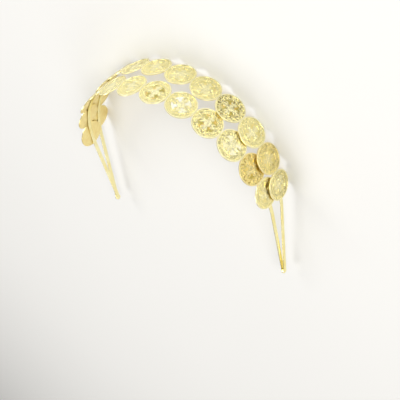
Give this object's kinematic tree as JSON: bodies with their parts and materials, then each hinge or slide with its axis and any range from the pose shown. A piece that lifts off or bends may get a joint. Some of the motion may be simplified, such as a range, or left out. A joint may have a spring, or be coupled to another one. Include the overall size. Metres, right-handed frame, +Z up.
{
  "type": "coin headband",
  "caption": "Rigid metal hair hoop of two narrow bands joined at the tips, each carrying a row of flat round coins with raised relief.",
  "frame": {"origin": "on the surface that the hoop lies on, below the middle of its bounding box, so midway between the legs and midway between the crown and the tips", "axes": "+X from the near leg to the other leg, the longest extent; +Y from the crown of the hoop towards its tips; +Z up off the surface, from the rear row to the front row, the shortest extent"},
  "size_m": [0.1588, 0.1416, 0.0397],
  "materials": {
    "band_metal": "polished, slightly darker than the coins",
    "coin_metal": "bright polished relief over satin fields"
  },
  "bodies": {
    "root": {"double_band": "band_metal", "coin_front_01": "coin_metal", "coin_front_02": "coin_metal", "coin_front_03": "coin_metal", "coin_front_04": "coin_metal", "coin_front_05": "coin_metal", "coin_front_06": "coin_metal", "coin_front_07": "coin_metal", "coin_front_08": "coin_metal", "coin_front_09": "coin_metal", "coin_front_10": "coin_metal", "coin_front_11": "coin_metal", "coin_front_12": "coin_metal", "coin_rear_01": "coin_metal", "coin_rear_02": "coin_metal", "coin_rear_03": "coin_metal", "coin_rear_04": "coin_metal", "coin_rear_05": "coin_metal", "coin_rear_06": "coin_metal", "coin_rear_07": "coin_metal", "coin_rear_08": "coin_metal", "coin_rear_09": "coin_metal", "coin_rear_10": "coin_metal", "coin_rear_11": "coin_metal", "coin_rear_12": "coin_metal"}
  },
  "joints": []
}
